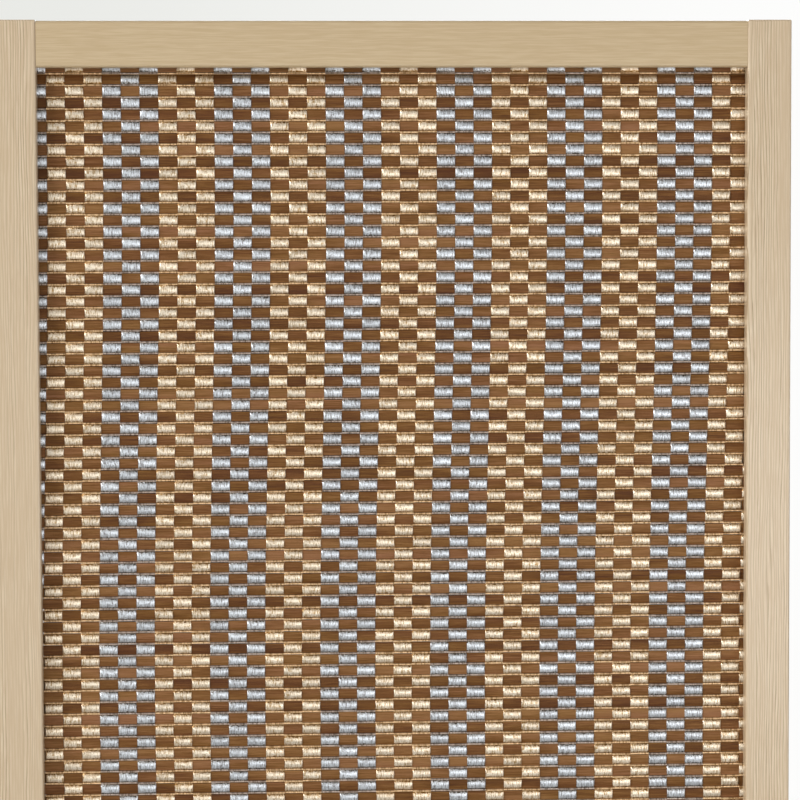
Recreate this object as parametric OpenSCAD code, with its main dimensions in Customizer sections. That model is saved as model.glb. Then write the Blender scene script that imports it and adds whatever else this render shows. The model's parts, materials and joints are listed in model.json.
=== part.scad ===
// Folding screen of three panels. Each panel is a pine frame round a woven mat of flat bamboo slats.
// Millimetres, +Z up. The origin is on the floor under the centre of the middle panel, and -Y is the front.
// The screen stands in a zigzag: the joint on the left folds to the front, the joint on the right to the back.

/* [Panel] */
// Width of one panel
panel_w = 450; // [400:5:600]
// Height of the stiles, floor to top
panel_h = 1750; // [1500:10:2000]
// Width of a stile, seen from the front
stile_w = 25; // [25:1:40]
// Thickness of a stile, front to back
stile_t = 22; // [21:0.5:30]
// Height of a rail, seen from the front
rail_h = 26; // [25:1:40]
// Drop of the top rail below the stile tops
rail_drop = 0.5; // [0.5:0.5:30]
// Clear height under the bottom rail
foot_h = 60; // [30:5:120]
// Angle of each panel to the line of the screen
zigzag_angle = 30; // [15:1:60]

/* [Edges] */
// Radius along the rail edges that face the mat
rail_inner_r = 1.6; // [1:0.2:3]
// Radius along the outer rail edges
rail_outer_r = 2; // [1:0.5:3]
// Radius of the stile edges
stile_r = 1.2; // [0.6:0.2:2]

/* [Mat] */
// Distance from one slat to the next
slat_pitch = 6.6; // [5:0.1:9]
// Open space between two slats
slat_gap = 1.1; // [1:0.1:1.6]
// Thickness of a slat
slat_t = 1.2; // [1:0.1:1.4]
// Number of warp bands across the mat
band_count = 40; // [28:2:52]
// Thickness of the yarn in a warp band
band_t = 0.9; // [0.6:0.1:1]
// Number of neighbouring bands of one colour
bands_per_stripe = 3; // [2:1:6]
// Thickness of the binder cord between two slats
cord_d = 0.8; // [0.5:0.1:0.9]

/* [Hinges] */
// Height of a hinge
hinge_h = 50; // [50:5:80]
// Width of a hinge leaf
leaf_w = 15; // [14:0.5:16]
// Thickness of a hinge leaf
leaf_t = 1.2; // [1:0.1:1.5]
// Outer radius of the knuckles
knuckle_r = 3; // [2.8:0.1:4]
// Radius of the hinge pin
pin_r = 1.5; // [1.2:0.1:1.8]
// Height of the top and bottom hinges from the stile ends
hinge_inset = 220; // [150:10:400]

/* [Hidden] */
$fn = 64;
// A cut starts this far outside the face that it goes through.
over = 1;

rail_inset = 0.5;
rail_t = stile_t - 2 * rail_inset;
opening_w = panel_w - 2 * stile_w;
top_rail_z = panel_h - rail_drop - rail_h;
opening_z = foot_h + rail_h;

// The mat's edges sit in grooves of the stiles and rails, with a little play.
groove_d = 10;
side_play = 1;
end_play = 0.5;
mat_t = slat_t + 2 * band_t;
groove_w = mat_t + 0.6;
mat_w = opening_w + 2 * (groove_d - side_play);
mat_top = top_rail_z + groove_d - end_play;
slat_w = slat_pitch - slat_gap;
slat_count = floor((mat_top - opening_z + groove_d - end_play + slat_gap) / slat_pitch);
mat_h = slat_count * slat_pitch - slat_gap;
band_w = mat_w / band_count;
cord_sides = 6;

// Two dowels side by side hold each rail end, between the groove and the rail's outer edge.
dowel_r = 3;
dowel_length = 36;
dowel_y = stile_t / 4;
dowel_depth = dowel_length / 2 + 0.5;
dowel_rise = (rail_h + groove_d) / 2;
wood_fit = 0.05;

// Hinges: the leaves lie on the stile edges, and the pin stands just outside the stile faces.
leaf_play = 0.6;
panel_gap = 2 * leaf_t + leaf_play;
pin_x = (panel_w + panel_gap) / 2;
pin_y = stile_t / 2 + knuckle_r + 0.4;
pin_fit = 0.05;
pin_head_h = 0.8;
pin_head_r = pin_r + 0.6;
knuckle_count = 5;
knuckle_play = 0.3;
screw_r = 1.5;
screw_head_r = 2.7;
screw_length = 12;
screw_rise = hinge_h / 3;
screw_stagger = 2.5;
cross_w = 0.7;
cross_length = 3;
cross_depth = 0.8;

pine = "#d6c19c";
dowel_wood = "#dcc8a0";
bamboo = "#7b5331";
gold_yarn = "#d8bd8b";
silver_yarn = "#c0c4cb";
cord_fibre = "#9b7a52";
plated_steel = "#b9bcc0";

PANELS = ["left", "middle", "right"];
JOINTS = ["left", "right"];
LEVELS = ["top", "middle", "bottom"];
SIDES = ["inner", "outer"];
PANEL_PARTS = ["left_stile", "right_stile", "top_rail", "bottom_rail", "dowels",
    "slats", "binder_cords", "gold_warp", "silver_warp"];

function hinge_z(level) =
    level == "top" ? panel_h - hinge_inset : level == "middle" ? panel_h / 2 : hinge_inset;

// Which face of a stile its hinge pins stand at: 1 at the back, -1 at the front, 0 for a free stile.
function pin_side(panel, side) =
    panel == "middle" ? side : panel == "right" ? (side < 0 ? 1 : 0) : (side > 0 ? -1 : 0);

// The middle panel stands at the origin, turned by the zigzag angle.
module middle_pose() {
    rotate([0, 0, -zigzag_angle]) children();
}

// The right panel has turned about its pins, backwards from lying in line with the middle one.
module right_pose() {
    middle_pose()
        translate([pin_x, pin_y, 0])
            rotate([0, 0, 2 * zigzag_angle])
                translate([pin_x, -pin_y, 0]) children();
}

// The left half of the screen is the right half turned half round.
module half_turn() {
    rotate([0, 0, 180]) children();
}

module panel_pose(panel) {
    if (panel == "middle") middle_pose() children();
    if (panel == "right") right_pose() children();
    if (panel == "left") half_turn() right_pose() half_turn() children();
}

// Both sides of a joint are drawn as the right joint's, whose inner side is on the middle panel.
module joint_pose(joint, side) {
    half = joint == "left" ? 180 : 0;
    rotate([0, 0, half])
        if (side == "inner") middle_pose() children();
        else right_pose() children();
}

// What is left outside an arc of radius r in the corner at the origin.
module corner_waste(r) {
    difference() {
        translate([-over, -over]) square(r + over);
        translate([r, r]) circle(r);
    }
}

// A rectangle with its lower left corner at the origin and its own radius on the lower and upper corners.
module eased_rect(size, low_r, high_r) {
    difference() {
        square(size);
        for (side = [0, 1])
            translate([side * size.x, 0]) mirror([side, 0]) {
                if (low_r > 0) corner_waste(low_r);
                translate([0, size.y]) mirror([0, 1]) corner_waste(high_r);
            }
    }
}

// Cylinder along +X from the origin.
module rod_x(r, length) {
    rotate([0, 90, 0]) cylinder(r = r, h = length);
}

// A stile from x = 0 at its free edge to x = stile_w at the groove, with its thickness about y = 0.
module stile_blank() {
    intersection() {
        translate([0, -stile_t / 2, 0])
            linear_extrude(panel_h) eased_rect([stile_w, stile_t], stile_r, stile_r);
        translate([0, stile_t / 2, 0])
            rotate([90, 0, 0])
                linear_extrude(stile_t) eased_rect([stile_w, panel_h], 0, stile_r);
        translate([0, -stile_t / 2, 0])
            rotate([90, 0, 90])
                linear_extrude(stile_w) eased_rect([stile_t, panel_h], 0, stile_r);
    }
}

module stile(side, pins_at) {
    turn = side < 0 ? 0 : 180;
    color(pine)
        translate([side * panel_w / 2, 0, 0])
            rotate([0, 0, turn])
                difference() {
                    stile_blank();
                    translate([stile_w - groove_d, -groove_w / 2, opening_z - groove_d])
                        cube([groove_d + over, groove_w, top_rail_z - opening_z + 2 * groove_d]);
                    for (z = [top_rail_z + dowel_rise, opening_z - dowel_rise], y = [-dowel_y, dowel_y])
                        translate([stile_w - dowel_depth, y, z]) rod_x(dowel_r + wood_fit, dowel_depth + over);
                    if (pins_at != 0)
                        for (level = LEVELS)
                            translate([-over, 0, hinge_z(level)])
                                screw_places(-side * pins_at) rod_x(screw_r + wood_fit, screw_length + over);
                }
}

// A rail between the stiles, with z = 0 on its outer edge and its groove in the edge at z = rail_h.
module rail_blank() {
    difference() {
        translate([-opening_w / 2, -rail_t / 2, 0])
            rotate([90, 0, 90])
                linear_extrude(opening_w) eased_rect([rail_t, rail_h], rail_outer_r, rail_inner_r);
        translate([-opening_w / 2 - over, -groove_w / 2, rail_h - groove_d])
            cube([opening_w + 2 * over, groove_w, groove_d + over]);
        for (end = [-1, 1], y = [-dowel_y, dowel_y])
            translate([end * (opening_w / 2 + over) - (end > 0 ? dowel_depth + over : 0), y, rail_h - dowel_rise])
                rod_x(dowel_r + wood_fit, dowel_depth + over);
    }
}

module top_rail() {
    color(pine) translate([0, 0, top_rail_z + rail_h]) rotate([180, 0, 0]) rail_blank();
}

module bottom_rail() {
    color(pine) translate([0, 0, foot_h]) rail_blank();
}

module dowels() {
    color(dowel_wood)
        for (side = [-1, 1], z = [top_rail_z + dowel_rise, opening_z - dowel_rise], y = [-dowel_y, dowel_y])
            translate([side * opening_w / 2 - dowel_length / 2, y, z]) rod_x(dowel_r, dowel_length);
}

module slats() {
    color(bamboo)
        for (i = [0 : slat_count - 1])
            translate([-mat_w / 2, -slat_t / 2, mat_top - slat_w - i * slat_pitch])
                cube([mat_w, slat_t, slat_w]);
}

module binder_cords() {
    color(cord_fibre)
        for (i = [1 : slat_count - 1])
            translate([-mat_w / 2, 0, mat_top + slat_gap / 2 - i * slat_pitch])
                rotate([0, 90, 0]) cylinder(d = cord_d, h = mat_w, $fn = cord_sides);
}

// The bands of one colour. Real bands pass over and under the slats by turns. Here each lies flat, the even ones
// in front of the slats and the odd ones behind them. The first stripe is cut short by the groove.
module warp(is_gold) {
    for (i = [0 : band_count - 1]) {
        stripe = floor((i + bands_per_stripe - 1) / bands_per_stripe);
        if ((stripe % 2 == 1) == is_gold)
            translate([-mat_w / 2 + i * band_w, i % 2 == 0 ? -mat_t / 2 : slat_t / 2, mat_top - mat_h])
                cube([band_w, band_t, mat_h]);
    }
}

module gold_warp() {
    color(gold_yarn) warp(true);
}

module silver_warp() {
    color(silver_yarn) warp(false);
}

// Three screw positions on the edge of a stile, about the hinge's middle height. pins_at is the pin's side in y.
module screw_places(pins_at) {
    for (k = [-1, 0, 1])
        translate([0, pins_at * ((stile_t - leaf_w) / 2 + (k == 0 ? -screw_stagger : screw_stagger)), k * screw_rise])
            children();
}

// A countersunk hole or head that narrows along +X from the leaf's outer face.
module countersink(r, head_r) {
    rotate([0, 90, 0]) cylinder(r1 = head_r, r2 = r, h = leaf_t);
}

// A knuckle of the stack. z = 0 is the foot of the hinge.
module knuckle_space(i, r, play) {
    length = hinge_h / knuckle_count;
    translate([0, 0, i * length + play / 2]) cylinder(r = r, h = length - play);
}

// The leaf on the edge of a panel that lies on the -X side of the pin. The pin is at the origin.
// The inner leaf has the knuckles 0, 2 and 4, and the outer leaf the others.
module leaf(first_knuckle) {
    length = hinge_h / knuckle_count;
    edge_x = -panel_gap / 2;
    face_y = stile_t / 2 - pin_y;
    difference() {
        union() {
            translate([edge_x, face_y - leaf_w, 0]) cube([leaf_t, leaf_w, hinge_h]);
            for (i = [first_knuckle : 2 : knuckle_count - 1]) {
                knuckle_space(i, knuckle_r, knuckle_play);
                translate([edge_x, face_y - over, i * length + knuckle_play / 2])
                    cube([leaf_t, over - face_y, length - knuckle_play]);
            }
        }
        translate([0, 0, -over]) cylinder(r = pin_r + pin_fit, h = hinge_h + 2 * over);
        translate([edge_x + leaf_t, -pin_y, hinge_h / 2])
            screw_places(1) rotate([0, 0, 180]) {
                countersink(screw_r + wood_fit, screw_head_r + wood_fit);
                rod_x(screw_r + wood_fit, leaf_t + over);
            }
    }
}

module hinge_leaf(joint, side, level) {
    color(plated_steel)
        joint_pose(joint, side)
            translate([side == "inner" ? pin_x : -pin_x, pin_y, hinge_z(level) - hinge_h / 2])
                if (side == "inner") leaf(0);
                else mirror([1, 0, 0]) leaf(1);
}

module hinge_pin(joint, level) {
    color(plated_steel)
        joint_pose(joint, "inner")
            translate([pin_x, pin_y, hinge_z(level) - hinge_h / 2]) {
                cylinder(r = pin_r, h = hinge_h);
                translate([0, 0, -pin_head_h]) cylinder(r = pin_head_r, h = pin_head_h);
                translate([0, 0, hinge_h]) cylinder(r = pin_head_r, h = pin_head_h);
            }
}

// A countersunk screw along +X, with its head's face at the origin and a cross recess in it.
module screw() {
    difference() {
        union() {
            countersink(screw_r, screw_head_r);
            rod_x(screw_r, screw_length);
        }
        for (turn = [0, 90])
            rotate([turn, 0, 0])
                translate([-over, -cross_w / 2, -cross_length / 2])
                    cube([cross_depth + over, cross_w, cross_length]);
    }
}

module hinge_screws(joint, side) {
    out = side == "inner" ? 1 : -1;
    color(plated_steel)
        joint_pose(joint, side)
            for (level = LEVELS)
                translate([out * (panel_w / 2 + leaf_t), 0, hinge_z(level)])
                    screw_places(1) rotate([0, 0, out > 0 ? 180 : 0]) screw();
}

for (panel = PANELS) {
    name = str(panel, "_panel_");
    panel_pose(panel) stile(-1, pin_side(panel, -1));
    panel_pose(panel) stile(1, pin_side(panel, 1));
    panel_pose(panel) top_rail();
    panel_pose(panel) bottom_rail();
    panel_pose(panel) dowels();
    panel_pose(panel) slats();
    panel_pose(panel) binder_cords();
    panel_pose(panel) gold_warp();
    panel_pose(panel) silver_warp();
}
for (joint = JOINTS, level = LEVELS) {
    name = str(joint, "_", level, "_hinge_");
    hinge_pin(joint, level);
    hinge_leaf(joint, "inner", level);
    hinge_leaf(joint, "outer", level);
}
for (joint = JOINTS, side = SIDES)
    hinge_screws(joint, side);
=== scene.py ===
import json
import math

import bpy
from mathutils import Matrix, Vector


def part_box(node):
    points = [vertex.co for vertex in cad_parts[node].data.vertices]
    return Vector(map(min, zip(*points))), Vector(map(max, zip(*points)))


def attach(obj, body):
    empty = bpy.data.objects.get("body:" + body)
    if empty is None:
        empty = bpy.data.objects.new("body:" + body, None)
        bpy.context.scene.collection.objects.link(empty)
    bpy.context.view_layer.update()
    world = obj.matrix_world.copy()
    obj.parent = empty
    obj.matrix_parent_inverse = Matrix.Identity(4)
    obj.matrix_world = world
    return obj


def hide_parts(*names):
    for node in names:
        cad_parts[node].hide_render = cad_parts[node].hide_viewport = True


# A folding screen of three pine-framed panels. Each mat is of stained bamboo slats, with bands of gold and
# silver metallic yarn woven over and under them. Sizes are in metres unless a name says otherwise.
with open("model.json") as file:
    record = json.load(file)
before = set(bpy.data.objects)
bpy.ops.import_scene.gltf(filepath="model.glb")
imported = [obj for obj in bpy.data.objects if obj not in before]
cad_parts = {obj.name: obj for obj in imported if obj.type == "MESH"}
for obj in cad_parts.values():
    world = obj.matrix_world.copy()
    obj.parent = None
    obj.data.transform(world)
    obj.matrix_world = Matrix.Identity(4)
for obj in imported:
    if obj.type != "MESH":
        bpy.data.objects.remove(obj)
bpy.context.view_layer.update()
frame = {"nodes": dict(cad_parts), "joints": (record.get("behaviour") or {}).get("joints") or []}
MM = 0.001

# Every panel stands turned about its own middle, in a zigzag, and each hinge line lies halfway between two.
folds = {joint["name"]: joint for joint in frame["joints"]}
turn = math.radians(-folds["left_fold"]["range_deg"][0] / 2)
PANELS = {
    "left": (2 * folds["left_fold"]["pos_m"][0], turn),
    "middle": (0.0, -turn),
    "right": (2 * folds["right_fold"]["pos_m"][0], turn),
}


def tint(code):
    """The sRGB hex value of a stain, a yarn or a wood, as the linear colour that a socket takes."""
    parts = [int(code[i : i + 2], 16) / 255 for i in (1, 3, 5)]
    return [p / 12.92 if p <= 0.04045 else ((p + 0.055) / 1.055) ** 2.4 for p in parts] + [1.0]


def feed(tree, node, feeds):
    """Links each node or socket among the feeds to the input of its name, and sets any other value on it."""
    for name, value in feeds.items():
        source = value.outputs[0] if isinstance(value, bpy.types.Node) else value
        if isinstance(source, bpy.types.NodeSocket):
            tree.links.new(source, node.inputs[name])
        else:
            node.inputs[name].default_value = source


def add(tree, kind, feeds=None, **settings):
    """Adds one node with its settings and feeds its inputs."""
    made = tree.nodes.new(kind)
    for name, value in settings.items():
        setattr(made, name, value)
    feed(tree, made, feeds or {})
    return made


def weave_tree(name, sizes):
    """An empty Geometry Nodes tree with a named input for each size."""
    tree = bpy.data.node_groups.new(name, "GeometryNodeTree")
    for size, value in sizes.items():
        socket = tree.interface.new_socket(name=size, in_out="INPUT", socket_type="NodeSocketFloat")
        socket.default_value = value
    tree.interface.new_socket(name="Geometry", in_out="OUTPUT", socket_type="NodeSocketGeometry")
    return tree, add(tree, "NodeGroupInput").outputs


def woven_piece(name, tree, sizes, body, stands_for):
    """Evaluates a tree once and keeps its result as a plain mesh that rides on a body."""
    piece = bpy.data.objects.new(name, bpy.data.meshes.new(name + "_seed"))
    bpy.context.scene.collection.objects.link(piece)
    loom = piece.modifiers.new("loom", "NODES")
    loom.node_group = tree
    for socket in tree.interface.items_tree:
        if socket.in_out == "INPUT" and socket.name in sizes:
            loom[socket.identifier] = sizes[socket.name]
    bpy.context.view_layer.update()
    cloth = bpy.data.meshes.new_from_object(piece.evaluated_get(bpy.context.evaluated_depsgraph_get()))
    cloth.name = name
    piece.modifiers.clear()
    piece.data = cloth
    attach(piece, body)
    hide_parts(stands_for)


# The finishes.
def finish_of(name):
    """A new material with only its output and its Principled shader."""
    made = bpy.data.materials.new(name)
    made.use_nodes = True
    return made, made.node_tree, made.node_tree.nodes["Principled BSDF"]


def metallic_yarn(name, bright, deep, rim_shade_tone, fleck_shade_tone):
    """Metallic yarn: aluminised polyester film, slit and laid side by side over the slat. Painted light
    and shade: a pale speckled band across each float, as if every strip mirrored the light at its own angle,
    painted shade towards its upper and lower edge, and ragged dark flecks of painted shade where the strips
    dive behind the next cord."""
    made, tree, shader = finish_of(name)
    place = add(tree, "ShaderNodeAttribute", attribute_name="yarn_place")
    # The strips are about 0.4 mm wide, under a pixel. They are drawn in bunches of 0.7 mm, which show.
    bunches_per_mm = 1.5
    strips = add(
        tree, "ShaderNodeVectorMath", {0: place.outputs["Vector"], 1: (bunches_per_mm, 1.0, 1.0)},
        operation="MULTIPLY",
    )
    streak = add(
        tree, "ShaderNodeTexNoise", {"Vector": strips, "Scale": 1.0, "Detail": 2.0, "Roughness": 0.6},
    )
    # The crinkle of single strips is drawn at 0.7 mm across and 0.8 mm up and down. A float is 5.7 mm high.
    crinkles_up_half_a_float = 3.6
    crinkles = add(
        tree, "ShaderNodeVectorMath",
        {0: place.outputs["Vector"], 1: (bunches_per_mm, crinkles_up_half_a_float, 1.0)},
        operation="MULTIPLY",
    )
    crinkle = add(
        tree, "ShaderNodeTexNoise", {"Vector": crinkles, "Scale": 1.0, "Detail": 2.0, "Roughness": 0.7},
    )
    crinkle_in_glint, crinkle_at_edge, crinkle_in_relief = 0.9, 1.8, 0.6
    # Painted glint and shade: where the crinkle and the bunches stand high the yarn takes the bright tone,
    # and where they sink the deep one, as if each strip mirrored the light at its own angle. Much the same
    # pattern drives the bump.
    mottled = add(
        tree, "ShaderNodeMath", {0: crinkle, 1: crinkle_in_glint, 2: streak}, operation="MULTIPLY_ADD",
    )
    painted_glint = add(tree, "ShaderNodeMapRange", {"Value": mottled, "From Min": 0.7, "From Max": 1.02})
    colour = add(tree, "ShaderNodeMix", {0: painted_glint, 6: tint(deep), 7: tint(bright)}, data_type="RGBA")
    # How near a point is to the float's upper or lower edge: 0 in the middle, 1 at the edge.
    arc = add(tree, "ShaderNodeSeparateXYZ", {0: place.outputs["Vector"]})
    edge = add(tree, "ShaderNodeMath", {0: arc.outputs["Y"]}, operation="ABSOLUTE")
    # Painted shade: towards its upper and lower edge, where it curves away into the crease beside the cord,
    # the float turns to a darker shade tone, with a ragged border.
    ragged = add(tree, "ShaderNodeMath", {0: crinkle, 1: crinkle_at_edge, 2: edge}, operation="MULTIPLY_ADD")
    painted_edge_shade = add(
        tree, "ShaderNodeMapRange", {"Value": ragged, "From Min": 1.32, "From Max": 1.86},
        interpolation_type="SMOOTHSTEP",
    )
    turned = add(tree, "ShaderNodeMix", {0: painted_edge_shade, 6: colour.outputs[2], 7: tint(rim_shade_tone)}, data_type="RGBA")
    # Painted shade: near-black flecks along the very edge, where the strips dive behind the next cord, and
    # dark specks where the crinkle peaks, as if those strips mirrored the dark.
    fleck = add(tree, "ShaderNodeMapRange", {"Value": ragged, "From Min": 1.66, "From Max": 1.84})
    shade_speck = add(tree, "ShaderNodeMapRange", {"Value": crinkle, "From Min": 0.6, "From Max": 0.76})
    painted_fleck_shade = add(tree, "ShaderNodeMath", {0: fleck, 1: shade_speck}, operation="MAXIMUM")
    flecked = add(
        tree, "ShaderNodeMix", {0: painted_fleck_shade, 6: turned.outputs[2], 7: tint(fleck_shade_tone)}, data_type="RGBA",
    )
    # Painted light and shade: each float is painted a little lighter or darker at random, for how it catches
    # the light as it lies a little tighter or looser than the next.
    lie = add(tree, "ShaderNodeTexWhiteNoise", {"W": arc.outputs["Z"]}, noise_dimensions="1D")
    shade = add(tree, "ShaderNodeMapRange", {"Value": lie.outputs["Value"], "To Min": 0.82, "To Max": 1.12})
    own = add(
        tree, "ShaderNodeMix", {0: 1.0, 6: flecked.outputs[2], 7: shade.outputs[0]}, data_type="RGBA",
        blend_type="MULTIPLY",
    )
    relief = add(
        tree, "ShaderNodeMath", {0: crinkle, 1: crinkle_in_relief, 2: streak}, operation="MULTIPLY_ADD",
    )
    bump = add(tree, "ShaderNodeBump", {"Height": relief, "Strength": 0.5, "Distance": 0.3 * MM})
    feed(tree, shader, {"Base Color": own.outputs[2], "Normal": bump, "Metallic": 1.0, "Roughness": 0.38})
    return made


def corded_yarn(name, light, dark):
    """The same yarn where it wraps the cord: tight and crumpled, so it scatters the light like a dull foil.
    The eye sees a thin pale line; its colour is painted darker in the crumples' hollows and paler on their
    crests, as painted shade and glint."""
    made, tree, shader = finish_of(name)
    place = add(tree, "ShaderNodeAttribute", attribute_name="yarn_place")
    # The crumples are 0.5 mm apart, and are drawn at 0.8 mm.
    crumples_per_mm = 1.2
    crumples_at = add(
        tree, "ShaderNodeVectorMath", {0: place.outputs["Vector"], 1: (crumples_per_mm, 1.0, 1.0)},
        operation="MULTIPLY",
    )
    crumples = add(
        tree, "ShaderNodeTexNoise", {"Vector": crumples_at, "Scale": 1.0, "Detail": 2.0, "Roughness": 0.7},
    )
    # Painted shade and glint: the colour darkens where the crumples' bump sinks and pales where it rises.
    crumple_glint_and_shade = add(tree, "ShaderNodeMapRange", {"Value": crumples, "From Min": 0.36, "From Max": 0.58})
    colour = add(tree, "ShaderNodeMix", {0: crumple_glint_and_shade, 6: tint(dark), 7: tint(light)}, data_type="RGBA")
    bump = add(tree, "ShaderNodeBump", {"Height": crumples, "Strength": 0.4, "Distance": 0.2 * MM})
    feed(tree, shader, {"Base Color": colour.outputs[2], "Normal": bump, "Metallic": 0.35, "Roughness": 0.5})
    return made


def stained_bamboo():
    """Bamboo strips, planed flat and stained brown, left almost matt. The eye sees a tone of its own on
    every slat, which drifts along it, and thin lighter and darker fibres along its length."""
    made, tree, shader = finish_of("stained_bamboo")
    place = add(tree, "ShaderNodeAttribute", attribute_name="slat_place")
    # The fibres are 0.2 mm apart in bamboo, and are drawn 0.5 mm apart, in runs of 20 mm.
    fibre_scale = (0.05, 2.2, 1.0)
    along = add(
        tree, "ShaderNodeVectorMath", {0: place.outputs["Vector"], 1: fibre_scale}, operation="MULTIPLY",
    )
    fibre = add(
        tree, "ShaderNodeTexNoise", {"Vector": along, "Scale": 1.0, "Detail": 4.0, "Roughness": 0.75},
    )
    # The stain drifts over 80 mm or so along the slat.
    drift_scale = (0.012, 0.1, 1.7)
    drift = add(
        tree, "ShaderNodeVectorMath", {0: place.outputs["Vector"], 1: drift_scale}, operation="MULTIPLY",
    )
    stain = add(tree, "ShaderNodeTexNoise", {"Vector": drift, "Scale": 1.0, "Detail": 2.0})
    slat = add(tree, "ShaderNodeSeparateXYZ", {0: place.outputs["Vector"]})
    dip = add(tree, "ShaderNodeTexWhiteNoise", {"W": slat.outputs["Z"]}, noise_dimensions="1D")
    drift_in_tone, dip_in_tone = 0.7, 0.24
    drawn = add(tree, "ShaderNodeMath", {0: stain, 1: drift_in_tone, 2: fibre}, operation="MULTIPLY_ADD")
    tone = add(
        tree, "ShaderNodeMath", {0: dip.outputs["Value"], 1: dip_in_tone, 2: drawn},
        operation="MULTIPLY_ADD",
    )
    dark = add(tree, "ShaderNodeMapRange", {"Value": tone, "From Min": 0.74, "From Max": 0.94})
    deep = add(tree, "ShaderNodeMix", {0: dark, 6: tint("#533015"), 7: tint("#734E24")}, data_type="RGBA")
    light = add(tree, "ShaderNodeMapRange", {"Value": tone, "From Min": 0.94, "From Max": 1.18})
    pale = add(tree, "ShaderNodeMix", {0: light, 6: deep.outputs[2], 7: tint("#98714C")}, data_type="RGBA")
    # The culms take the stain differently: some stretches are yellower and others redder, over 80 mm or so.
    hue_scale = (0.012, 0.1, 2.9)
    hue_at = add(
        tree, "ShaderNodeVectorMath", {0: place.outputs["Vector"], 1: hue_scale}, operation="MULTIPLY",
    )
    hue = add(tree, "ShaderNodeTexNoise", {"Vector": hue_at, "Scale": 1.0, "Detail": 2.0})
    redder = add(tree, "ShaderNodeMapRange", {"Value": hue, "From Min": 0.36, "From Max": 0.66})
    cast = add(tree, "ShaderNodeMix", {0: redder, 6: tint("#FFF9E0"), 7: tint("#FFF0F6")}, data_type="RGBA")
    colour = add(
        tree, "ShaderNodeMix", {0: 1.0, 6: pale.outputs[2], 7: cast.outputs[2]}, data_type="RGBA",
        blend_type="MULTIPLY",
    )
    bump = add(tree, "ShaderNodeBump", {"Height": fibre, "Strength": 0.25, "Distance": 0.1 * MM})
    feed(tree, shader, {
        "Base Color": colour.outputs[2], "Normal": bump, "Roughness": 0.55, "Specular IOR Level": 0.2,
    })
    return made


# How the grain runs on a stile, up it, and on a rail, across the panel. The scales are in features to a
# metre. Only the number of years is the wave texture's own scale: the growth lines are 0.63 m divided by it
# apart, so 1.6 mm on a stile and 4 mm on a rail. They wander 1 mm to and fro over 100 mm on a stile, and 2 mm
# over 250 mm on a rail. The fine grain is 0.7 mm apart, in runs of 14 mm. The slow change of tone is 8 to
# 12 mm wide and 250 mm long.
GRAINS = {
    "up": {
        "wander_scale": (110, 110, 10), "wander": (0.006, 0, 0), "years_scale": (1, 1, 0), "years": 390,
        "fine_scale": (1500, 1500, 70), "slow_scale": (130, 130, 4), "line_strength": 0.9, "fading": 0.5,
        "base": "#E0CCAE", "line": "#8E6F45", "pith": "#CCB391",
    },
    "across": {
        "wander_scale": (4, 30, 30), "wander": (0, 0, 0.012), "years_scale": (0, 1, 1), "years": 165,
        "fine_scale": (70, 1500, 1500), "slow_scale": (4, 80, 80), "line_strength": 0.22, "fading": 0.2,
        "base": "#D0B993", "line": "#B2946C", "pith": "#C3A981",
    },
}


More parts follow.
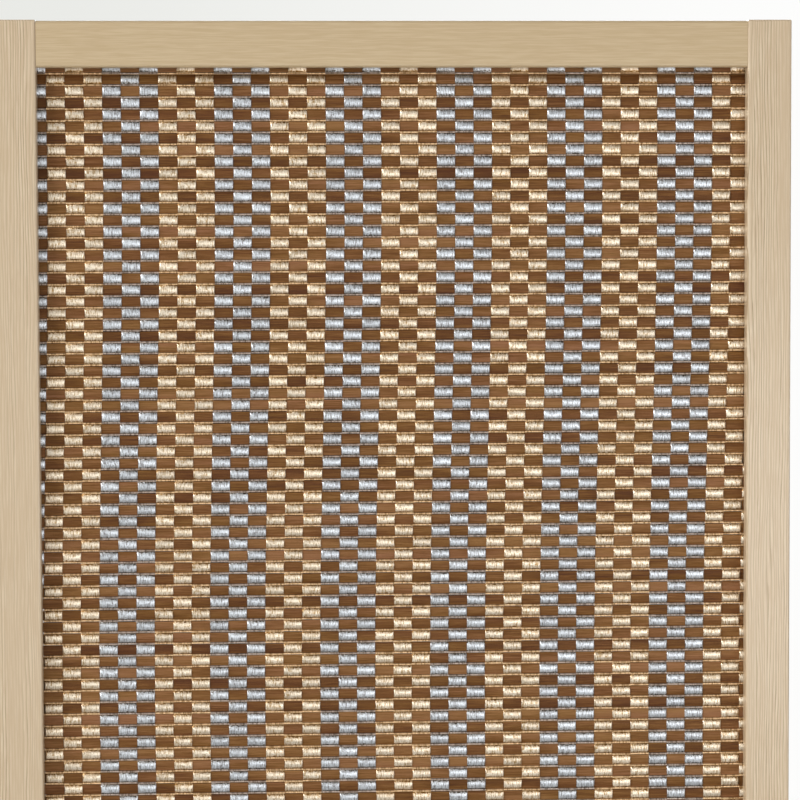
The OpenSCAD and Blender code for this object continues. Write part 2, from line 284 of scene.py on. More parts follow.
def planed_pine(name, panel, grain):
    """Pine boards, planed and clear-lacquered to a satin. The eye sees a pale tan, close thin growth lines
    along a stile, and a calmer, yellower face on a rail, where only the fine grain and a few lines show."""
    made, tree, shader = finish_of(name)
    board = GRAINS[grain]
    centre, angle = PANELS[panel]
    object_place = add(tree, "ShaderNodeTexCoord").outputs["Object"]
    on_panel = add(tree, "ShaderNodeMapping", {
        "Vector": object_place,
        "Location": (-centre * math.cos(angle), centre * math.sin(angle), 0.0),
        "Rotation": (0.0, 0.0, -angle),
    })
    # Each growth line is a slow darkening that ends in a thin late line, and some are stronger than others.
    wander_at = add(
        tree, "ShaderNodeVectorMath", {0: on_panel, 1: board["wander_scale"]}, operation="MULTIPLY",
    )
    sway = add(tree, "ShaderNodeTexNoise", {"Vector": wander_at, "Scale": 1.0, "Detail": 2.0})
    strayed = add(
        tree, "ShaderNodeVectorMath", {0: sway, 1: board["wander"], 2: on_panel}, operation="MULTIPLY_ADD",
    )
    years_at = add(tree, "ShaderNodeVectorMath", {0: strayed, 1: board["years_scale"]}, operation="MULTIPLY")
    growth = add(
        tree, "ShaderNodeTexWave", {"Vector": years_at, "Scale": board["years"]},
        bands_direction="DIAGONAL", wave_profile="SAW",
    )
    slow_at = add(tree, "ShaderNodeVectorMath", {0: on_panel, 1: board["slow_scale"]}, operation="MULTIPLY")
    slow = add(tree, "ShaderNodeTexNoise", {"Vector": slow_at, "Scale": 1.0, "Detail": 1.0})
    strong = add(
        tree, "ShaderNodeMapRange",
        {"Value": slow, "From Min": 0.35, "From Max": 0.65, "To Min": 0.3, "To Max": board["line_strength"]},
    )
    late = add(
        tree, "ShaderNodeMapRange", {"Value": growth, "From Min": 0.5, "From Max": 1.0, "To Max": strong},
        interpolation_type="SMOOTHSTEP",
    )
    lined = add(
        tree, "ShaderNodeMix", {0: late, 6: tint(board["base"]), 7: tint(board["line"])}, data_type="RGBA",
    )
    fine_at = add(tree, "ShaderNodeVectorMath", {0: on_panel, 1: board["fine_scale"]}, operation="MULTIPLY")
    fine = add(
        tree, "ShaderNodeTexNoise", {"Vector": fine_at, "Scale": 1.0, "Detail": 2.0, "Roughness": 0.5},
    )
    grained = add(
        tree, "ShaderNodeMapRange",
        {"Value": fine, "From Min": 0.36, "From Max": 0.64, "To Min": 0.0, "To Max": 0.8},
    )
    fined = add(
        tree, "ShaderNodeMix", {0: grained, 6: lined.outputs[2], 7: tint(board["pith"])}, data_type="RGBA",
    )
    faded = add(
        tree, "ShaderNodeMapRange",
        {"Value": slow, "From Min": 0.35, "From Max": 0.65, "To Min": board["fading"], "To Max": 0.0},
    )
    colour = add(
        tree, "ShaderNodeMix", {0: faded, 6: fined.outputs[2], 7: tint(board["pith"])}, data_type="RGBA",
    )
    bump = add(tree, "ShaderNodeBump", {"Height": fine, "Strength": 0.15, "Distance": 0.1 * MM})
    feed(tree, shader, {
        "Base Color": colour.outputs[2], "Normal": bump, "Roughness": 0.4,
        "Coat Weight": 0.6, "Coat Roughness": 0.22,
    })
    return made


def plain_finish(name, light, dark, spots_per_metre, roughness, metallic):
    """A finish that needs only a soft mottle: zinc plating, the binder cord's fibre, or a dowel's beech."""
    unevenness = 0.06
    made, tree, shader = finish_of(name)
    place = add(tree, "ShaderNodeTexCoord").outputs["Object"]
    mottle = add(
        tree, "ShaderNodeTexNoise",
        {"Vector": place, "Scale": spots_per_metre, "Detail": 3.0, "Roughness": 0.6},
    )
    colour = add(tree, "ShaderNodeMix", {0: mottle, 6: tint(dark), 7: tint(light)}, data_type="RGBA")
    rough = add(
        tree, "ShaderNodeMapRange",
        {"Value": mottle, "To Min": roughness - unevenness, "To Max": roughness + unevenness},
    )
    feed(tree, shader, {"Base Color": colour.outputs[2], "Roughness": rough, "Metallic": metallic})
    return made


# The yarns' tones: bright is the painted highlight and deep the painted shade of the crinkle, the third is
# the painted shade at a float's upper and lower edge, and the fourth the painted shade of its flecks and
# specks.
gold_yarn = metallic_yarn(
    "gold_metallic_yarn", bright="#EADDC9", deep="#A08054", rim_shade_tone="#97703A", fleck_shade_tone="#5C3B12",
)
# For the cords, light is the painted glint tone on the crumples' crests and dark the painted shade tone in
# their hollows.
gold_corded = corded_yarn("gold_yarn_round_cord", light="#E9C597", dark="#9C754A")
silver_yarn = metallic_yarn(
    "silver_metallic_yarn", bright="#D2D7DD", deep="#7F7C7D", rim_shade_tone="#81796F", fleck_shade_tone="#3C322A",
)
silver_corded = corded_yarn("silver_yarn_round_cord", light="#BBA99C", dark="#705F52")
bamboo = stained_bamboo()
# Zinc plating on steel: a light grey metal with a faint mottle of 2 mm.
plated_steel = plain_finish(
    "zinc_plated_steel", light="#CBCCCD", dark="#A8A9AC", spots_per_metre=500, roughness=0.34, metallic=1.0,
)
# Twisted cotton, the cord that the warp passes over: dull, with its 0.4 mm plies. It shows only at its ends.
cord_fibre = plain_finish(
    "cotton_cord_fibre", light="#B8946A", dark="#8E6C46", spots_per_metre=2500, roughness=0.8, metallic=0.0,
)
# Turned beech, left bare: a pale tan with flecks of 1 mm. The dowels are hidden in the joints.
dowel_beech = plain_finish(
    "beech_dowel", light="#D9B88C", dark="#C09A6C", spots_per_metre=900, roughness=0.6, metallic=0.0,
)

# The mats.
slats_low, slats_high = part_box("middle_panel_slats")
PITCH = 6.6 * MM
SLAT = {"width": 5.5 * MM, "thick": 1.2 * MM, "half_length": 209.0 * MM}
FIRST_ROW = slats_high.z - SLAT["width"] / 2
ROWS = round((slats_high.z - slats_low.z - SLAT["width"]) / PITCH) + 1
COLUMNS = 42

# The slats have not packed down quite evenly: they stand up to 1.4 mm above an even spacing.
SETTLING = {"Settle": -0.63 * MM, "Settle Start": 1586 * MM, "Settle Length": 392 * MM, "Slack": 0.8 * MM}
# Every slat leans by Row Lean, and by up to Row Tilt more or less, at random.
LEANING = {"Row Tilt": math.radians(4), "Row Lean": math.radians(3.3)}
WARP_SIZES = {
    "Rows": ROWS, "Columns": COLUMNS, "Row Pitch": PITCH, "First Row": FIRST_ROW,
    "Column Pitch": 10.46 * MM, "First Column": -211.8 * MM, "Groove Reach": 209.9 * MM,
    "Lean": 3.0 * MM, "Lean Start": 1705 * MM, "Lean Length": 2400 * MM,
    "Ripple": 1.45 * MM, "Ripple Start": 1512 * MM, "Ripple Length": 501 * MM, **SETTLING,
    "Float Rise": 0.9 * MM, "Float Reach": 2.85 * MM, "Slat Face": 0.55 * MM,
    "Ridge Depth": 1.1 * MM, "Ridge Height": 0.46 * MM, "Ridge Sway": math.radians(11), **LEANING,
    "Gold": 1.0, "Centre": 0.0, "Turn": 0.0,
}
# Two floats, or two slats, have random places up to this far apart in the patterns that their finishes draw.
PATTERN_REACH = 500.0


def wave(tree, sizes, label, at, added_to):
    """Adds a wave of the size that the label names to a length."""
    above = add(tree, "ShaderNodeMath", {0: at, 1: sizes[label + " Start"]}, operation="SUBTRACT")
    part = add(tree, "ShaderNodeMath", {0: above, 1: sizes[label + " Length"]}, operation="DIVIDE")
    turns = add(tree, "ShaderNodeMath", {0: part, 1: 2 * math.pi}, operation="MULTIPLY")
    swing = add(tree, "ShaderNodeMath", {0: turns}, operation="SINE")
    return add(tree, "ShaderNodeMath", {0: swing, 1: sizes[label], 2: added_to}, operation="MULTIPLY_ADD")


def row_tilt(tree, row):
    """How far a row leans, in parts of Row Tilt. The two rows under the rail face up, since the groove holds
    their upper edge back. So they mirror the rail's dim underside."""
    held_back = -4.0
    own = add(tree, "FunctionNodeRandomValue", {2: -1.0, 3: 1.0, "ID": row, "Seed": 7}, data_type="FLOAT")
    # 1 for rows 1 and 2, and 0 for the others. Row 0 is inside the groove.
    held = add(tree, "ShaderNodeMath", {0: row, 1: 1.5, 2: 1.0}, operation="COMPARE")
    return add(tree, "ShaderNodeMath", {0: held, 1: held_back, 2: own.outputs[1]}, operation="MULTIPLY_ADD")


def lattice(tree, sizes):
    """One point for every place where a band crosses a slat, for the yarn that is asked for."""
    index = add(tree, "GeometryNodeInputIndex")
    column_of = add(tree, "ShaderNodeMath", {0: index, 1: sizes["Rows"]}, operation="DIVIDE")
    column = add(tree, "ShaderNodeMath", {0: column_of}, operation="FLOOR")
    row = add(tree, "ShaderNodeMath", {0: index, 1: sizes["Rows"]}, operation="MODULO")
    down = add(tree, "ShaderNodeMath", {0: row, 1: sizes["Row Pitch"]}, operation="MULTIPLY")
    height = add(tree, "ShaderNodeMath", {0: sizes["First Row"], 1: down}, operation="SUBTRACT")
    across = add(
        tree, "ShaderNodeMath", {0: column, 1: sizes["Column Pitch"], 2: sizes["First Column"]},
        operation="MULTIPLY_ADD",
    )
    # The bands were woven a little out of square: they swing to and fro on a long wave and a short one.
    for label in ("Lean", "Ripple"):
        across = wave(tree, sizes, label, height, across)
    slack = add(tree, "ShaderNodeMath", {0: height, 1: sizes["Slack"]}, operation="ADD")
    settled = wave(tree, sizes, "Settle", height, slack)
    place = add(tree, "ShaderNodeCombineXYZ", {"X": across, "Z": settled})
    count = add(tree, "ShaderNodeMath", {0: sizes["Rows"], 1: sizes["Columns"]}, operation="MULTIPLY")
    points = add(tree, "GeometryNodePoints", {"Count": count, "Position": place})
    # Bands of one yarn go three by three, and the first stripe has only two. The small addition keeps a
    # third that falls on a whole number from being rounded down.
    third = add(tree, "ShaderNodeMath", {0: column, 1: 1 / 3, 2: 1 / 3 + 0.01}, operation="MULTIPLY_ADD")
    stripe = add(tree, "ShaderNodeMath", {0: third}, operation="FLOOR")
    yarn = add(tree, "ShaderNodeMath", {0: stripe, 1: 2.0}, operation="MODULO")
    other_yarn = add(tree, "ShaderNodeMath", {0: yarn, 1: sizes["Gold"], 2: 0.5}, operation="COMPARE")
    # A band that would pass the bottom of the stile's groove is left out.
    from_middle = add(tree, "ShaderNodeMath", {0: across}, operation="ABSOLUTE")
    rim = add(
        tree, "ShaderNodeMath", {0: sizes["Column Pitch"], 1: 0.5, 2: from_middle}, operation="MULTIPLY_ADD",
    )
    inside = add(tree, "ShaderNodeMath", {0: rim, 1: sizes["Groove Reach"]}, operation="LESS_THAN")
    wanted = add(tree, "ShaderNodeMath", {0: other_yarn, 1: inside}, operation="MULTIPLY")
    # Over and under by turns: 1 where the band passes behind the slat.
    both = add(tree, "ShaderNodeMath", {0: column, 1: row}, operation="ADD")
    behind = add(tree, "ShaderNodeMath", {0: both, 1: 2.0}, operation="MODULO")
    luck = add(tree, "FunctionNodeRandomValue", {2: 0.0, 3: 1.0, "ID": index, "Seed": 3}, data_type="FLOAT")
    kept = points
    for label, value in (("behind", behind), ("tilt", row_tilt(tree, row)), ("luck", luck.outputs[1])):
        kept = add(
            tree, "GeometryNodeStoreNamedAttribute", {"Geometry": kept, "Name": label, "Value": value},
            data_type="FLOAT", domain="POINT",
        )
    unwanted = add(tree, "ShaderNodeMath", {0: 1.0, 1: wanted}, operation="SUBTRACT")
    return add(tree, "GeometryNodeDeleteGeometry", {"Geometry": kept, "Selection": unwanted}, domain="POINT")


def laid_out(tree, sizes, strands, material):
    """Makes the instances real, notes each point's place on the yarn, and stands the mat in its panel."""
    real = add(tree, "GeometryNodeRealizeInstances", {"Geometry": strands})
    here = add(tree, "ShaderNodeSeparateXYZ", {0: add(tree, "GeometryNodeInputPosition")})
    x_mm = add(tree, "ShaderNodeMath", {0: here, 1: MM}, operation="DIVIDE")
    arc, luck = [
        add(tree, "GeometryNodeInputNamedAttribute", {"Name": label}, data_type="FLOAT")
        for label in ("arc", "luck")
    ]
    own = add(tree, "ShaderNodeMath", {0: luck, 1: PATTERN_REACH}, operation="MULTIPLY")
    yarn_place = add(tree, "ShaderNodeCombineXYZ", {"X": x_mm, "Y": arc, "Z": own})
    noted = add(
        tree, "GeometryNodeStoreNamedAttribute",
        {"Geometry": real, "Name": "yarn_place", "Value": yarn_place}, data_type="FLOAT_VECTOR",
        domain="POINT",
    )
    for label in ("arc", "luck", "behind", "tilt"):
        noted = add(tree, "GeometryNodeRemoveAttribute", {"Geometry": noted, "Name": label})
    # The sharpest edges stay sharp: a float's rim and the ends of a ridge.
    sharpest = math.radians(80)
    bend = add(tree, "GeometryNodeInputMeshEdgeAngle")
    sharp = add(tree, "ShaderNodeMath", {0: bend, 1: sharpest}, operation="GREATER_THAN")
    smooth = add(
        tree, "GeometryNodeSetShadeSmooth", {"Geometry": noted, "Shade Smooth": True}, domain="FACE",
    )
    creased = add(
        tree, "GeometryNodeSetShadeSmooth", {"Geometry": smooth, "Selection": sharp, "Shade Smooth": False},
        domain="EDGE",
    )
    turned = add(tree, "ShaderNodeCombineXYZ", {"Z": sizes["Turn"]})
    moved = add(tree, "ShaderNodeCombineXYZ", {"X": sizes["Centre"]})
    stood = add(
        tree, "GeometryNodeTransform", {"Geometry": creased, "Translation": moved, "Rotation": turned},
    )
    dressed = add(tree, "GeometryNodeSetMaterial", {"Geometry": stood, "Material": material})
    add(tree, "NodeGroupOutput", {0: dressed})


def float_tree(material):
    """The floats: where a band passes over a slat it swells out over it, front or back."""
    between_bands, swell_power = 0.2 * MM, 2.5
    tree, sizes = weave_tree("yarn_floats", WARP_SIZES)
    places = lattice(tree, sizes)
    deep = add(tree, "ShaderNodeMath", {0: sizes["Float Reach"], 1: 2.0}, operation="MULTIPLY")
    wide = add(tree, "ShaderNodeMath", {0: sizes["Column Pitch"], 1: between_bands}, operation="SUBTRACT")
    sheet = add(
        tree, "GeometryNodeMeshGrid", {"Size X": wide, "Size Y": deep, "Vertices X": 4, "Vertices Y": 5},
    )
    flat = add(tree, "ShaderNodeSeparateXYZ", {0: add(tree, "GeometryNodeInputPosition")})
    up = add(tree, "ShaderNodeMath", {0: flat.outputs["Y"], 1: sizes["Float Reach"]}, operation="DIVIDE")
    steep = add(tree, "ShaderNodeMath", {0: up}, operation="ABSOLUTE")
    rolled = add(tree, "ShaderNodeMath", {0: steep, 1: swell_power}, operation="POWER")
    swell = add(tree, "ShaderNodeMath", {0: 1.0, 1: rolled}, operation="SUBTRACT")
    # The two inner lines of points stand 0.9 mm from the band's edges, and only the edges dip, by a quarter.
    inner_within, inner_spread, edge_dip = 0.3, 1.45, 0.26
    off = add(tree, "ShaderNodeMath", {0: flat}, operation="ABSOLUTE")
    share = add(tree, "ShaderNodeMath", {0: off, 1: wide}, operation="DIVIDE")
    inner = add(tree, "ShaderNodeMath", {0: share, 1: inner_within}, operation="LESS_THAN")
    spread = add(tree, "ShaderNodeMath", {0: inner, 1: inner_spread, 2: 1.0}, operation="MULTIPLY_ADD")
    across = add(tree, "ShaderNodeMath", {0: flat, 1: spread}, operation="MULTIPLY")
    dip = add(tree, "ShaderNodeMath", {0: inner, 1: edge_dip, 2: 1 - edge_dip}, operation="MULTIPLY_ADD")
    rise = add(tree, "ShaderNodeMath", {0: swell, 1: sizes["Float Rise"]}, operation="MULTIPLY")
    crowned = add(tree, "ShaderNodeMath", {0: rise, 1: dip}, operation="MULTIPLY")
    out = add(tree, "ShaderNodeMath", {0: crowned, 1: sizes["Slat Face"]}, operation="ADD")
    front = add(tree, "ShaderNodeMath", {0: out, 1: -1.0}, operation="MULTIPLY")
    arched_at = add(tree, "ShaderNodeCombineXYZ", {"X": across, "Y": front, "Z": flat.outputs["Y"]})
    arched = add(tree, "GeometryNodeSetPosition", {"Geometry": sheet, "Position": arched_at})
    solid = add(tree, "GeometryNodeConvexHull", {"Geometry": arched})
    height = add(tree, "ShaderNodeSeparateXYZ", {0: add(tree, "GeometryNodeInputPosition")})
    arc = add(tree, "ShaderNodeMath", {0: height.outputs["Z"], 1: sizes["Float Reach"]}, operation="DIVIDE")
    marked = add(
        tree, "GeometryNodeStoreNamedAttribute", {"Geometry": solid, "Name": "arc", "Value": arc},
        data_type="FLOAT", domain="POINT",
    )
    behind, tilt = [
        add(tree, "GeometryNodeInputNamedAttribute", {"Name": label}, data_type="FLOAT")
        for label in ("behind", "tilt")
    ]
    facing = add(tree, "ShaderNodeMath", {0: behind, 1: -2.0, 2: 1.0}, operation="MULTIPLY_ADD")
    lean = add(
        tree, "ShaderNodeMath", {0: tilt, 1: sizes["Row Tilt"], 2: sizes["Row Lean"]},
        operation="MULTIPLY_ADD",
    )
    signed = add(tree, "ShaderNodeMath", {0: lean, 1: facing}, operation="MULTIPLY")
    half_turn = add(tree, "ShaderNodeMath", {0: behind, 1: math.pi}, operation="MULTIPLY")
    turned = add(tree, "ShaderNodeCombineXYZ", {"X": signed, "Z": half_turn})
    floats = add(
        tree, "GeometryNodeInstanceOnPoints", {"Points": places, "Instance": marked, "Rotation": turned},
    )
    laid_out(tree, sizes, floats, material)
    return tree


def ridge_tree(material):
    """The ridges: in the gap under each slat the band wraps the binder cord and stands up as a thin line."""
    tree, sizes = weave_tree("yarn_ridges", WARP_SIZES)
    places = lattice(tree, sizes)
    rod = add(tree, "GeometryNodeMeshCylinder", {"Vertices": 6, "Radius": 1.0, "Depth": 1.0})
    at = add(tree, "ShaderNodeSeparateXYZ", {0: add(tree, "GeometryNodeInputPosition")})
    # Its section is a six-sided bar that fills the gap, with a flat nose at the front and the back.
    nose_height = 0.6
    out = add(tree, "ShaderNodeMath", {0: at.outputs["Y"], 1: sizes["Ridge Depth"]}, operation="MULTIPLY")
    side = add(tree, "ShaderNodeMath", {0: at}, operation="SIGN")
    tall = add(tree, "ShaderNodeMath", {0: side, 1: nose_height}, operation="MULTIPLY")
    bulge = add(tree, "ShaderNodeMath", {0: at, 1: 1 - nose_height, 2: tall}, operation="MULTIPLY_ADD")
    high = add(tree, "ShaderNodeMath", {0: bulge, 1: sizes["Ridge Height"]}, operation="MULTIPLY")
    long = add(tree, "ShaderNodeMath", {0: at.outputs["Z"], 1: sizes["Column Pitch"]}, operation="MULTIPLY")
    bar_at = add(tree, "ShaderNodeCombineXYZ", {"X": long, "Y": out, "Z": high})
    ridge = add(tree, "GeometryNodeSetPosition", {"Geometry": rod, "Position": bar_at})
    # A ridge is so low that its yarn has the same place up and down all over it.
    marked = add(
        tree, "GeometryNodeStoreNamedAttribute", {"Geometry": ridge, "Name": "arc", "Value": 0.35},
        data_type="FLOAT", domain="POINT",
    )
    behind = add(tree, "GeometryNodeInputNamedAttribute", {"Name": "behind"}, data_type="FLOAT")
    facing = add(tree, "ShaderNodeMath", {0: behind, 1: 2.0, 2: -1.0}, operation="MULTIPLY_ADD")
    sway = add(tree, "ShaderNodeMath", {0: facing, 1: sizes["Ridge Sway"]}, operation="MULTIPLY")
    turned = add(tree, "ShaderNodeCombineXYZ", {"X": sway})
    # The middle of the gap lies half a row down, and the ridge stands a hair above it.
    into_gap = -0.49
    sunk = add(tree, "ShaderNodeMath", {0: sizes["Row Pitch"], 1: into_gap}, operation="MULTIPLY")
    lower = add(tree, "ShaderNodeCombineXYZ", {"Z": sunk})
    in_gap = add(tree, "GeometryNodeSetPosition", {"Geometry": places, "Offset": lower})
    ridges = add(
        tree, "GeometryNodeInstanceOnPoints", {"Points": in_gap, "Instance": marked, "Rotation": turned},
    )
    laid_out(tree, sizes, ridges, material)
    return tree


def slat_tree(material):
    """The slats: long flat strips with eased edges, one under the other, each with a tilt of its own."""
    tree, sizes = weave_tree("bamboo_slats", {
        "Rows": ROWS, "Row Pitch": PITCH, "First Row": FIRST_ROW, "Half Length": SLAT["half_length"],
        "Slat Width": SLAT["width"], "Slat Thickness": SLAT["thick"], "Edge Radius": 0.25 * MM,
        **LEANING, **SETTLING, "Centre": 0.0, "Turn": 0.0,
    })
    index = add(tree, "GeometryNodeInputIndex")
    down = add(tree, "ShaderNodeMath", {0: index, 1: sizes["Row Pitch"]}, operation="MULTIPLY")
    height = add(tree, "ShaderNodeMath", {0: sizes["First Row"], 1: down}, operation="SUBTRACT")
    slack = add(tree, "ShaderNodeMath", {0: height, 1: sizes["Slack"]}, operation="ADD")
    settled = wave(tree, sizes, "Settle", height, slack)
    place = add(tree, "ShaderNodeCombineXYZ", {"Z": settled})
    rows = add(tree, "GeometryNodePoints", {"Count": sizes["Rows"], "Position": place})
    tone = add(tree, "FunctionNodeRandomValue", {2: 0.0, 3: 1.0, "ID": index, "Seed": 11}, data_type="FLOAT")
    toned = add(
        tree, "GeometryNodeStoreNamedAttribute",
        {"Geometry": rows, "Name": "tone", "Value": tone.outputs[1]}, data_type="FLOAT", domain="POINT",
    )
    section = add(
        tree, "GeometryNodeCurvePrimitiveQuadrilateral",
        {"Width": sizes["Slat Thickness"], "Height": sizes["Slat Width"]}, mode="RECTANGLE",
    )
    eased = add(
        tree, "GeometryNodeFilletCurve", {"Curve": section, "Count": 2, "Radius": sizes["Edge Radius"]},
        mode="POLY",
    )
    to_left = add(tree, "ShaderNodeMath", {0: sizes["Half Length"], 1: -1.0}, operation="MULTIPLY")
    left_end = add(tree, "ShaderNodeCombineXYZ", {"X": to_left})
    right_end = add(tree, "ShaderNodeCombineXYZ", {"X": sizes["Half Length"]})
    length = add(tree, "GeometryNodeCurvePrimitiveLine", {"Start": left_end, "End": right_end})
    strip = add(
        tree, "GeometryNodeCurveToMesh", {"Curve": length, "Profile Curve": eased, "Fill Caps": True},
    )
    lean = add(
        tree, "ShaderNodeMath", {0: row_tilt(tree, index), 1: sizes["Row Tilt"], 2: sizes["Row Lean"]},
        operation="MULTIPLY_ADD",
    )
    turned = add(tree, "ShaderNodeCombineXYZ", {"X": lean})
    slats = add(
        tree, "GeometryNodeInstanceOnPoints", {"Points": toned, "Instance": strip, "Rotation": turned},
    )
    real = add(tree, "GeometryNodeRealizeInstances", {"Geometry": slats})
    here = add(tree, "ShaderNodeSeparateXYZ", {0: add(tree, "GeometryNodeInputPosition")})
    x_mm = add(tree, "ShaderNodeMath", {0: here, 1: MM}, operation="DIVIDE")
    z_mm = add(tree, "ShaderNodeMath", {0: here.outputs["Z"], 1: MM}, operation="DIVIDE")
    own_tone = add(tree, "GeometryNodeInputNamedAttribute", {"Name": "tone"}, data_type="FLOAT")
    own = add(tree, "ShaderNodeMath", {0: own_tone, 1: PATTERN_REACH}, operation="MULTIPLY")
    slat_place = add(tree, "ShaderNodeCombineXYZ", {"X": x_mm, "Y": z_mm, "Z": own})
    noted = add(
        tree, "GeometryNodeStoreNamedAttribute",
        {"Geometry": real, "Name": "slat_place", "Value": slat_place}, data_type="FLOAT_VECTOR",
        domain="POINT",
    )
    around = add(tree, "ShaderNodeCombineXYZ", {"Z": sizes["Turn"]})
    moved = add(tree, "ShaderNodeCombineXYZ", {"X": sizes["Centre"]})
    stood = add(tree, "GeometryNodeTransform", {"Geometry": noted, "Translation": moved, "Rotation": around})
    dressed = add(tree, "GeometryNodeSetMaterial", {"Geometry": stood, "Material": material})
    add(tree, "NodeGroupOutput", {0: dressed})
    return tree


slats_grow = slat_tree(bamboo)
weaves = {
    ("gold", "warp"): float_tree(gold_yarn), ("gold", "ridges"): ridge_tree(gold_corded),
    ("silver", "warp"): float_tree(silver_yarn), ("silver", "ridges"): ridge_tree(silver_corded),
}
for panel, (centre, angle) in PANELS.items():
    stand = {"Centre": centre, "Turn": angle}
    body = f"{panel}_panel"
    woven_piece(f"{panel}_bamboo_slats", slats_grow, stand, body, f"{panel}_panel_slats")
    for (metal, kind), tree in weaves.items():
        woven_piece(
            f"{panel}_{metal}_yarn_{kind}", tree, {**stand, "Gold": float(metal == "gold")},
            body, f"{panel}_panel_{metal}_warp",
        )

# The CAD nodes that stay, each in its own finish.
pine = {
    (panel, grain): planed_pine(f"planed_pine_{panel}_{grain}", panel, grain)
    for panel in PANELS for grain in GRAINS
}
for name, part in frame["nodes"].items():
    panel = name.split("_")[0]
    if name.endswith("stile"):
        finish = pine[panel, "up"]
    elif name.endswith("rail"):
        finish = pine[panel, "across"]
    elif name.endswith("dowels"):
        finish = dowel_beech
    elif name.endswith("cords"):
        finish = cord_fibre
    elif "hinge" in name:
        finish = plated_steel
    else:
        continue
    part.data.materials.clear()
    part.data.materials.append(finish)


# The floor, the light and the camera.
def on_right_panel(x, y, z):
    """A place given in the right panel's own axes, x across it, y back from its middle and z up."""
    centre, angle = PANELS["right"]
    return Matrix.Translation((centre, 0, 0)) @ Matrix.Rotation(angle, 4, "Z") @ Vector((x, y, z))


def softbox(name, place, aim, width, height, watts):
    """A soft studio lamp that shines from a place at an aim."""
    lamp = bpy.data.objects.new(name, bpy.data.lights.new(name, "AREA"))
    bpy.context.scene.collection.objects.link(lamp)
    lamp.data.shape = "RECTANGLE"
    lamp.data.size, lamp.data.size_y = width, height
    lamp.data.energy = watts
    facing = (aim - place).to_track_quat("-Z", "Y").to_matrix().to_4x4()
    lamp.matrix_world = Matrix.Translation(place) @ facing
    lamp.visible_camera = False


def looked_at(tree):
    """1 for a ray that the eye follows: straight, mirrored or through something."""
    rays = add(tree, "ShaderNodeLightPath").outputs
    seen = add(
        tree, "ShaderNodeMath", {0: rays["Is Camera Ray"], 1: rays["Is Glossy Ray"]}, operation="MAXIMUM",
    )
    return add(tree, "ShaderNodeMath", {0: seen, 1: rays["Is Transmission Ray"]}, operation="MAXIMUM")


right_panel_middle = on_right_panel(0, 0, 1.2)
softbox(
    "front_softbox", place=on_right_panel(0.5, -0.95, 1.36), aim=on_right_panel(0.05, 0, 1.38),
    width=1.6, height=0.35, watts=3.7,
)
softbox(
    "left_softbox", place=on_right_panel(-3.2, -2.1, 3.1), aim=right_panel_middle,
    width=1.8, height=2.0, watts=104,
)
softbox(
    "high_softbox", place=on_right_panel(-1.5, -2.6, 5.0), aim=right_panel_middle,
    width=1.8, height=1.8, watts=22,
)
softbox(
    "back_softbox", place=Vector((-0.8, 3.6, 2.2)), aim=Vector((0, 0, 0.9)),
    width=2.4, height=2.0, watts=110,
)

# A pale round floor whose far rim fades into the background.
FLOOR_RADIUS = 6.0
FLOOR_SIDES = 96
FADE_START = 2.5
FADE_END = 5.8
floor_mesh = bpy.data.meshes.new("studio_floor")
corners = [math.tau * i / FLOOR_SIDES for i in range(FLOOR_SIDES)]
ring = [(FLOOR_RADIUS * math.cos(corner), FLOOR_RADIUS * math.sin(corner), 0.0) for corner in corners]
floor_mesh.from_pydata(ring, [], [tuple(range(FLOOR_SIDES))])
floor = bpy.data.objects.new("studio_floor", floor_mesh)
bpy.context.scene.collection.objects.link(floor)
floor_finish, tree, shader = finish_of("matt_floor_paint")
place = add(tree, "ShaderNodeTexCoord").outputs["Object"]
far = add(tree, "ShaderNodeVectorMath", {0: place}, operation="LENGTH")
shown = add(
    tree, "ShaderNodeMapRange",
    {"Value": far.outputs["Value"], "From Min": FADE_START, "From Max": FADE_END, "To Min": 1, "To Max": 0},
    interpolation_type="SMOOTHSTEP",
)
# The eye sees the paint a little paler than it shines on the screen. Its shadow stays.
paler_by = 0.12
lift = add(tree, "ShaderNodeMath", {0: looked_at(tree), 1: paler_by}, operation="MULTIPLY")
feed(tree, shader, {
    "Base Color": tint("#E4E3E0"), "Roughness": 0.8, "Alpha": shown,
    "Emission Color": tint("#FFFFFF"), "Emission Strength": lift,
})
floor_mesh.materials.append(floor_finish)

world = bpy.data.worlds.new("pale_studio")
bpy.context.scene.world = world
world.use_nodes = True
tree = world.node_tree
tree.nodes.clear()
way = add(tree, "ShaderNodeTexCoord").outputs["Generated"]
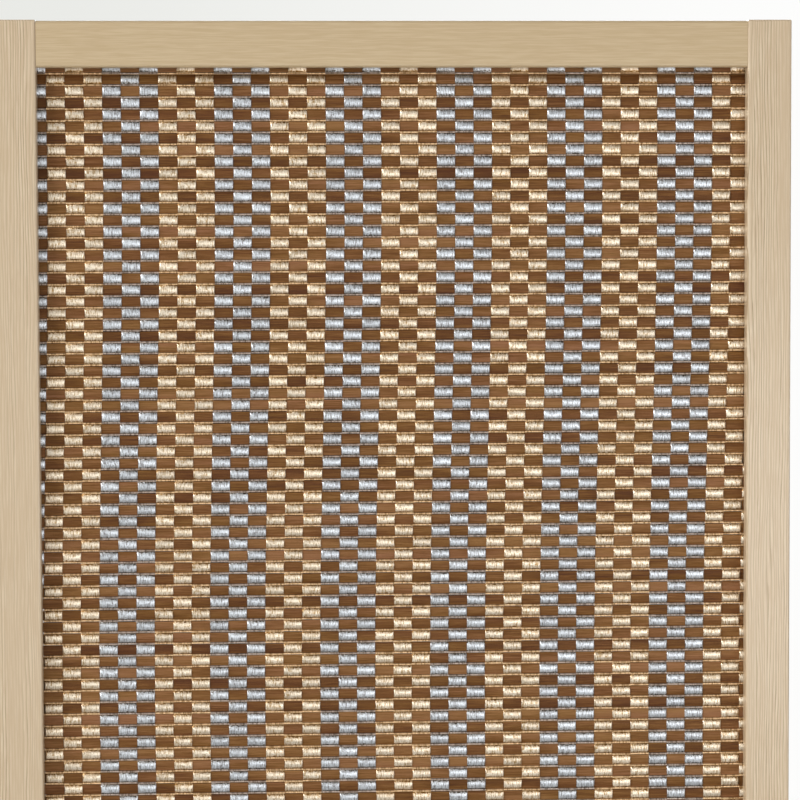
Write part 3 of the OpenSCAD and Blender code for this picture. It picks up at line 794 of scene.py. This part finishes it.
# The backdrop pales from left to right, as the camera sees it, and greys overhead.
CAMERA_RIGHT = (0.889, 0.457, 0)
sideways = add(tree, "ShaderNodeVectorMath", {0: way, 1: CAMERA_RIGHT}, operation="DOT_PRODUCT")
paling = add(
    tree, "ShaderNodeMapRange", {"Value": sideways.outputs["Value"], "From Min": -0.16, "From Max": 0.15},
    interpolation_type="SMOOTHSTEP",
)
pale = add(tree, "ShaderNodeMix", {0: paling, 6: tint("#E9EAE6"), 7: tint("#FDFDFC")}, data_type="RGBA")
climb = add(tree, "ShaderNodeSeparateXYZ", {0: way}).outputs["Z"]
steep = add(tree, "ShaderNodeMath", {0: climb}, operation="ABSOLUTE")
high = add(
    tree, "ShaderNodeMapRange", {"Value": steep, "From Min": 0.25, "From Max": 0.8},
    interpolation_type="SMOOTHSTEP",
)
wall = add(tree, "ShaderNodeMix", {0: high, 6: pale.outputs[2], 7: tint("#808080")}, data_type="RGBA")
# The eye sees the backdrop, and an even, weaker light falls on the screen in its place.
backdrop = add(tree, "ShaderNodeBackground", {"Color": wall.outputs[2], "Strength": 1.0})
ambient = add(tree, "ShaderNodeBackground", {"Color": tint("#FFFFFF"), "Strength": 0.28})
either = add(tree, "ShaderNodeMixShader", {0: looked_at(tree), 1: ambient, 2: backdrop})
add(tree, "ShaderNodeOutputWorld", {0: either})

# The camera that fits the lines of the frame in the photo, placed in the right panel's own axes. It looks a
# little to the right and down. The focal length is in pixels of the photo, which is 800 pixels wide.
CAMERA_PLACE = (-0.075, -1.611, 1.6273)
FOCAL_PIXELS = 2841
PHOTO_PIXELS = 800
SENSOR_MM = 36.0
camera = bpy.data.objects.new("camera", bpy.data.cameras.new("camera"))
bpy.context.scene.collection.objects.link(camera)
bpy.context.scene.camera = camera
yaw, pitch, roll = math.radians(2.78), math.radians(-3.248), math.radians(-0.216)
forward = Vector((math.sin(yaw) * math.cos(pitch), math.cos(yaw) * math.cos(pitch), math.sin(pitch)))
level = Vector((math.cos(yaw), -math.sin(yaw), 0))
upright = level.cross(forward)
right = math.cos(roll) * level + math.sin(roll) * upright
up = -math.sin(roll) * level + math.cos(roll) * upright
axes = Matrix((right, up, -forward)).transposed().to_4x4()
with_panel = Matrix.Rotation(PANELS["right"][1], 4, "Z")
camera.matrix_world = Matrix.Translation(on_right_panel(*CAMERA_PLACE)) @ with_panel @ axes
camera.data.sensor_width = SENSOR_MM
camera.data.lens = SENSOR_MM * FOCAL_PIXELS / PHOTO_PIXELS
camera.data.clip_end = 100.0

bpy.context.scene.view_settings.view_transform = "Standard"
